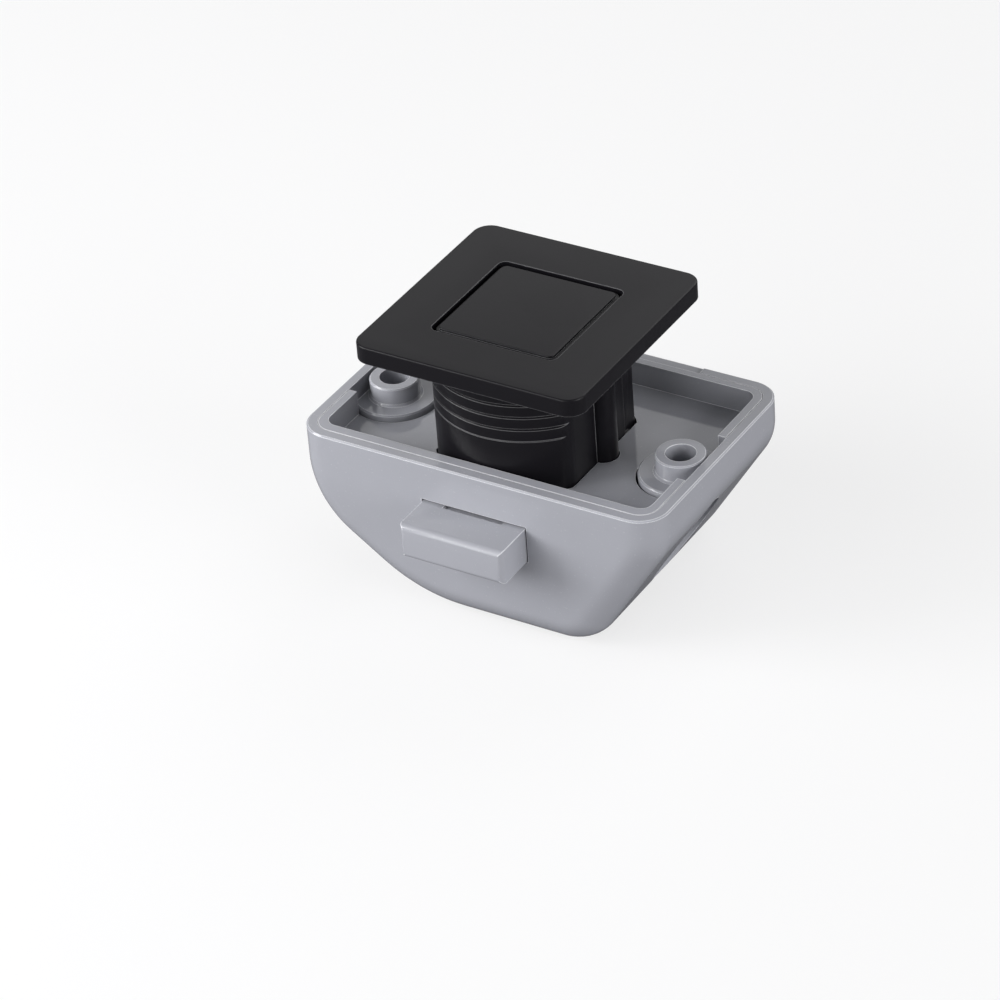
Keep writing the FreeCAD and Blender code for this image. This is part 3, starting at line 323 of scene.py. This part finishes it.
def moulded_plastic(name, tone, edge_rub_and_highlight_tone, roughness, grain, grain_depth, edge_rub_and_highlight_share=0.95, shine=0.5):
    """Moulded plastic: fine eroded grain, faint flow clouds, a little dust, and edges painted lighter,
    partly as rubbed plastic and partly as painted highlight lines.
    """
    finish = Finish(name)
    darker, lighter, mottle_tone, dust_tone = shades(tone, 0.985, 1.015, 0.9, 1.3)
    clouds = finish.noise(size_mm=14.0, detail=3.0, roughness=0.55)
    mottle = finish.noise(size_mm=1.6, detail=3.0, roughness=0.6)
    patches = finish.noise(size_mm=2.2, detail=4.0, roughness=0.65)
    dust = finish.noise(size_mm=0.34, detail=0.0, roughness=0.5)
    fine = finish.noise(size_mm=grain / MM, detail=2.0, roughness=0.6)
    pits = finish.noise(size_mm=grain / MM * PIT_WIDTH, detail=1.0, roughness=0.5)
    clouded = finish.ramp(clouds, low=0.3, high=0.7)
    mottled = finish.ramp(mottle, low=0.42, high=0.62, end=0.06)
    dusty = finish.ramp(dust, low=0.76, high=0.8, end=0.35)
    # Mask of the lighter edges: partly rubbed plastic, partly painted highlight lines
    edge_rub_and_highlight = (finish.edge_mask(EDGE_RUB_AND_HIGHLIGHT_REACH) * finish.ramp(patches, low=0.35, high=0.65, start=0.75)).limited()
    base = finish.mix(clouded, darker, lighter)
    base = finish.mix(mottled, base, mottle_tone)
    # Edges painted lighter: partly rubbing, partly painted highlight
    base = finish.mix(edge_rub_and_highlight * edge_rub_and_highlight_share, base, edge_rub_and_highlight_tone)
    base = finish.mix(dusty, base, dust_tone)
    height = fine * FINE_SHARE + pits * (1 - FINE_SHARE)
    rounded = finish.rounded_normal(PLASTIC_ROUNDING, samples=6)
    normal = finish.bump(height, depth=grain_depth * RELIEF_DEPTH, strength=0.4, normal=rounded)
    rough = roughness + swing(clouds, 0.03) + swing(mottle, 0.03) + swing(fine, 0.04) - edge_rub_and_highlight * 0.03
    return finish.surface("ShaderNodeBsdfPrincipled", {"Base Color": base, "Roughness": rough.limited(),
                                                       "Normal": normal, "Specular IOR Level": shine})


def grey_plastic(name, sizes, shade):
    """The plastic of case, tray and bolt."""
    return moulded_plastic(name, shaded(sizes.grey, shade), sizes.edge_rub_and_highlight, sizes.roughness, sizes.grain,
                           sizes.grain_depth, shine=sizes.shine)


def black_plastic(name, sizes):
    """The plastic of rosette and button."""
    return moulded_plastic(name, sizes.black, sizes.edge_rub_and_highlight, sizes.roughness, sizes.grain, sizes.grain_depth,
                           shine=sizes.shine)


def drawn_steel(name, tone, roughness, stretch=None, cloud_shade=0.88):
    """Steel with fine lines along its length, faint clouds and a few dark marks.

    Without a stretch the lines are a fine mottle, as on plated steel."""
    finish = Finish(name)
    groove_tone, ridge_tone, cloud_tone, mark_tone = shades(tone, 0.82, 1.1, cloud_shade, 0.6)
    lines = finish.noise(size_mm=0.25, detail=3.0, roughness=0.6, stretch=stretch)
    clouds = finish.noise(size_mm=3.0, detail=3.0, roughness=0.6)
    marks = finish.ramp(finish.noise(size_mm=0.8, detail=4.0, roughness=0.7), low=0.55, high=0.75)
    base = finish.mix(lines, groove_tone, ridge_tone)
    base = finish.mix(clouds * 0.35, base, cloud_tone)
    base = finish.mix(marks * 0.2, base, mark_tone)
    rounded = finish.rounded_normal(STEEL_ROUNDING, samples=4)
    normal = finish.bump(lines, depth=0.01 * MM, strength=0.4, normal=rounded)
    rough = roughness + swing(lines, 0.18) + swing(clouds, 0.12) + marks * 0.1
    return finish.surface("ShaderNodeBsdfPrincipled", {"Base Color": base, "Metallic": 1.0,
                                                       "Roughness": rough.limited(), "Normal": normal})


def matt_rubber(name, tone):
    """Soft buffer: matt, slightly bloomed, with a skin of small pores."""
    finish = Finish(name)
    bloom = finish.noise(size_mm=2.4, detail=4.0, roughness=0.6)
    pores = finish.noise(size_mm=0.3, detail=2.0, roughness=0.5)
    base = finish.mix(bloom, *shades(tone, 0.8, 2.0))
    normal = finish.bump(pores, depth=0.03 * MM, strength=0.5)
    rough = 0.78 + swing(bloom, 0.15)
    return finish.surface("ShaderNodeBsdfPrincipled", {"Base Color": base, "Roughness": rough.limited(),
                                                       "Normal": normal})


# Pieces


def body_of(node):
    return frame["nodes"][node]["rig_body"]


def dress(node, material):
    """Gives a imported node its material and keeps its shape."""
    mesh = frame["nodes"][node].data
    mesh.materials.clear()
    mesh.materials.append(material)


def rounded_copy(node, material, radius):
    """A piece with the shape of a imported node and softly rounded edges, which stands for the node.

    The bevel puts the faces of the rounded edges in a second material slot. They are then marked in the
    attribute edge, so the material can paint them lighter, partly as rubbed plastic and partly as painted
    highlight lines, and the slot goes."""
    mesh = bpy.data.meshes.new(node + "_sharp")
    work = bmesh.new()
    work.from_mesh(frame["nodes"][node].data)
    bmesh.ops.remove_doubles(work, verts=work.verts, dist=MERGE_DISTANCE)
    bmesh.ops.dissolve_limit(work, angle_limit=FLAT_ANGLE, verts=work.verts, edges=work.edges)
    for face in work.faces:
        face.smooth = True
        face.material_index = 0
    work.to_mesh(mesh)
    work.free()
    mesh.set_sharp_from_angle(angle=SHARP_ANGLE)
    piece = bpy.data.objects.new(node + "_finished", mesh)
    bpy.context.collection.objects.link(piece)
    mesh.materials.append(material)
    mesh.materials.append(material)
    bevel = piece.modifiers.new("edges", "BEVEL")
    bevel.width = radius
    bevel.segments = EDGE_STEPS
    bevel.limit_method = "ANGLE"
    bevel.angle_limit = SHARP_ANGLE
    bevel.use_clamp_overlap = True
    bevel.harden_normals = True
    bevel.material = 1
    evaluated = piece.evaluated_get(bpy.context.evaluated_depsgraph_get())
    finished = bpy.data.meshes.new_from_object(evaluated)
    finished.name = node + "_finished"
    piece.modifiers.clear()
    piece.data = finished
    marks = finished.attributes.new("edge", "FLOAT", "FACE")
    marks.data.foreach_set("value", [float(face.material_index) for face in finished.polygons])
    for face in finished.polygons:
        face.material_index = 0
    finished.materials.pop()
    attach(piece, body_of(node))
    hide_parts(node)
    return piece


def stretching_copy(node, material):
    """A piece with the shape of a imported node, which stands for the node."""
    mesh = frame["nodes"][node].data.copy()
    mesh.name = node + "_finished"
    mesh.materials.clear()
    mesh.materials.append(material)
    piece = bpy.data.objects.new(node + "_finished", mesh)
    bpy.context.collection.objects.link(piece)
    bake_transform(piece)
    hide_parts(node)
    return piece


class LOCK_OT_case(bpy.types.Operator):
    """Finishes the outer case and the tray in it"""
    bl_idname = "lock.case"
    bl_label = "Case and tray"

    def execute(self, context):
        sizes = context.scene.lock_case
        for node, shade in (("case_shell", 1.0), ("case_insert", sizes.tray_shade)):
            rounded_copy(node, grey_plastic(node + "_plastic", sizes, shade), sizes.edge)
        return {"FINISHED"}


class LOCK_OT_bolt(bpy.types.Operator):
    """Finishes the bolt"""
    bl_idname = "lock.bolt"
    bl_label = "Bolt"

    def execute(self, context):
        sizes = context.scene.lock_case
        rounded_copy("bolt", grey_plastic("bolt_plastic", sizes, sizes.bolt_shade), sizes.bolt_edge)
        return {"FINISHED"}


class LOCK_OT_rosette(bpy.types.Operator):
    """Finishes the rosette with its neck"""
    bl_idname = "lock.rosette"
    bl_label = "Rosette"

    def execute(self, context):
        sizes = context.scene.lock_rosette
        rounded_copy("rosette", black_plastic("rosette_plastic", sizes), sizes.edge)
        return {"FINISHED"}


class LOCK_OT_button(bpy.types.Operator):
    """Finishes the push button"""
    bl_idname = "lock.button"
    bl_label = "Button"

    def execute(self, context):
        sizes = context.scene.lock_rosette
        rounded_copy("button_cap", black_plastic("button_plastic", sizes), sizes.edge)
        return {"FINISHED"}


class LOCK_OT_mechanism(bpy.types.Operator):
    """Finishes the plastic and rubber pieces of the mechanism"""
    bl_idname = "lock.mechanism"
    bl_label = "Mechanism"

    def execute(self, context):
        sizes = context.scene.lock_inner
        # Lighter edge tones of the inner plastics: partly rubbed, partly painted highlight
        natural = moulded_plastic("natural_plastic", sizes.natural, edge_rub_and_highlight_tone=shaded(sizes.natural, 1.2),
                                  roughness=0.36, grain=0.2 * MM, grain_depth=0.002 * MM, edge_rub_and_highlight_share=0.4)
        dark = moulded_plastic("chassis_plastic", sizes.dark, edge_rub_and_highlight_tone=shaded(sizes.dark, 3.0),
                               roughness=0.5, grain=0.25 * MM, grain_depth=0.003 * MM, edge_rub_and_highlight_share=0.4)
        dress("plunger", natural)
        dress("spring_seat", natural)
        dress("chassis", dark)
        dress("bolt_pad", matt_rubber("pad_rubber", sizes.rubber))
        return {"FINISHED"}


class LOCK_OT_steel(bpy.types.Operator):
    """Finishes the pins, springs, wire, screws and catch plate"""
    bl_idname = "lock.steel"
    bl_label = "Steel pieces"

    def execute(self, context):
        sizes = context.scene.lock_inner
        pins = drawn_steel("pin_steel", sizes.steel, roughness=0.24, stretch=(0.1, 1.0, 1.0))
        spring = drawn_steel("spring_steel", shaded(sizes.steel, 0.85), roughness=0.3,
                             stretch=(1.0, 1.0, 0.3))
        zinc = drawn_steel("zinc_steel", sizes.zinc, roughness=0.34, cloud_shade=0.75)
        for node in ("cap_pin", "cross_pin"):
            dress(node, pins)
        stretching_copy("main_spring", spring)
        for node in ("catch_wire", "bolt_leaf"):
            dress(node, spring)
        for node in ("chassis_screws", "catch_screw", "catch_plate"):
            dress(node, zinc)
        return {"FINISHED"}


class LOCK_OT_stage(bpy.types.Operator):
    """Sets up the floor, the backdrop, the lamps and the camera"""
    bl_idname = "lock.stage"
    bl_label = "Stage"

    def execute(self, context):
        sizes = context.scene.lock_stage
        context.scene.view_settings.view_transform = "Standard"
        self.floor(sizes)
        self.sky(context.scene, sizes)
        self.lamps()
        self.camera(context.scene, sizes)
        return {"FINISHED"}

    def floor(self, sizes, steps=8):
        """A floor that sweeps up into a backdrop far behind the lock."""
        start, radius = sizes.sweep_start, sizes.sweep_radius
        profile = [(-sizes.reach, 0.0), (start, 0.0)]
        for step in range(1, steps + 1):
            angle = math.radians(90 * step / steps)
            profile.append((start + radius * math.sin(angle), radius - radius * math.cos(angle)))
        profile.append((start + radius, sizes.backdrop))
        mesh = bpy.data.meshes.new("floor")
        work = bmesh.new()
        rows = [[work.verts.new((x, y, z)) for x in (-sizes.reach, sizes.reach)] for y, z in profile]
        for near, far in zip(rows, rows[1:]):
            face = work.faces.new((near[0], near[1], far[1], far[0]))
            face.smooth = True
        work.to_mesh(mesh)
        work.free()
        floor = bpy.data.objects.new("floor", mesh)
        bpy.context.collection.objects.link(floor)
        mesh.materials.append(self.floor_paint(sizes))

    def floor_paint(self, sizes):
        """A matt floor that lights the lock as a mid grey, and is near white to the camera.

        The backdrop rises to white in reflections, so glossy pieces show it."""
        finish = Finish("floor_paint")
        camera, glossy, through = (finish.add("ShaderNodeLightPath", {}, {}, ray)
                                   for ray in ("Is Camera Ray", "Is Glossy Ray", "Is Transmission Ray"))
        clouds = finish.noise(size_mm=60.0, detail=3.0, roughness=0.5)
        seen = finish.mix(clouds, *shades(sizes.seen, 0.99, 1.01))
        matt = finish.add("ShaderNodeBsdfDiffuse", {}, {"Color": finish.mix(camera, sizes.floor, seen)})
        glow = finish.add("ShaderNodeEmission", {}, {"Color": (1.0, 1.0, 1.0), "Strength": 1.0})
        height = finish.add("ShaderNodeSeparateXYZ", {}, {"Vector": finish.place}, "Z")
        wall = finish.ramp(height * (MM / sizes.wall_height), low=0.1, high=1.0) * sizes.wall
        white = (camera * sizes.white + (glossy + through) * wall).limited()
        return finish.surface("ShaderNodeMixShader", {0: white, 1: matt, 2: glow})

    def sky(self, scene, sizes):
        world = bpy.data.worlds.new("studio")
        scene.world = world
        world.use_nodes = True
        background = world.node_tree.nodes["Background"]
        background.inputs["Color"].default_value = (*sizes.sky, 1.0)
        background.inputs["Strength"].default_value = sizes.sky_light

    def lamps(self):
        for name, (place, width, power) in LAMPS.items():
            light = bpy.data.lights.new(name, "AREA")
            light.shape = "SQUARE"
            light.size = width
            light.energy = power
            lamp = bpy.data.objects.new(name, light)
            bpy.context.collection.objects.link(lamp)
            lamp.location = place
            aim = LAMP_AIM - lamp.location
            lamp.rotation_euler = aim.to_track_quat("-Z", "Y").to_euler()

    def camera(self, scene, sizes):
        """A camera placed from the middle of the rosette's top, level lines turned by the roll."""
        flat = math.cos(sizes.elevation)
        back = Vector((math.sin(sizes.azimuth) * flat, -math.cos(sizes.azimuth) * flat,
                       math.sin(sizes.elevation)))
        level = Vector((0, 0, 1)).cross(back).normalized()
        rolled = Matrix.Rotation(sizes.roll, 3, back)
        right, up = rolled @ level, rolled @ back.cross(level)
        low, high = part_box("rosette")
        target = Vector(((low.x + high.x) / 2, (low.y + high.y) / 2, high.z))
        place = target + back * sizes.distance - right * sizes.aside - up * sizes.above
        data = bpy.data.cameras.new("camera")
        data.lens = sizes.lens
        data.sensor_width = 36.0
        data.clip_start = 0.01
        camera = bpy.data.objects.new("camera", data)
        bpy.context.collection.objects.link(camera)
        basis = Matrix((right, up, back)).transposed()
        camera.matrix_world = Matrix.Translation(place) @ basis.to_4x4()
        scene.camera = camera


class LOCK_PT_panel(bpy.types.Panel):
    """Lists the pieces of the lock in the sidebar"""
    bl_label = "Pushbutton lock"
    bl_idname = "LOCK_PT_panel"
    bl_space_type = "VIEW_3D"
    bl_region_type = "UI"
    bl_category = "Lock"

    def draw(self, context):
        column = self.layout.column()
        for operator in OPERATORS:
            column.operator(operator.bl_idname)
        for name in SETTINGS:
            box = column.box()
            group = getattr(context.scene, name)
            for key in group.bl_rna.properties.keys():
                if key not in ("rna_type", "name"):
                    box.prop(group, key)


SETTINGS = {
    "lock_case": CaseSizes,
    "lock_rosette": RosetteSizes,
    "lock_inner": InnerSizes,
    "lock_stage": StageSizes,
}
OPERATORS = [
    LOCK_OT_case,
    LOCK_OT_bolt,
    LOCK_OT_rosette,
    LOCK_OT_button,
    LOCK_OT_mechanism,
    LOCK_OT_steel,
    LOCK_OT_stage,
]


def register():
    for group in SETTINGS.values():
        bpy.utils.register_class(group)
    for operator in OPERATORS:
        bpy.utils.register_class(operator)
    bpy.utils.register_class(LOCK_PT_panel)
    for name, group in SETTINGS.items():
        setattr(bpy.types.Scene, name, bpy.props.PointerProperty(type=group))


def unregister():
    for name in SETTINGS:
        delattr(bpy.types.Scene, name)
    for entry in [LOCK_PT_panel, *reversed(OPERATORS), *SETTINGS.values()]:
        bpy.utils.unregister_class(entry)


def main():
    register()
    bpy.ops.lock.case()
    bpy.ops.lock.bolt()
    bpy.ops.lock.rosette()
    bpy.ops.lock.button()
    bpy.ops.lock.mechanism()
    bpy.ops.lock.steel()
    bpy.ops.lock.stage()


if __name__ == "__main__":
    main()
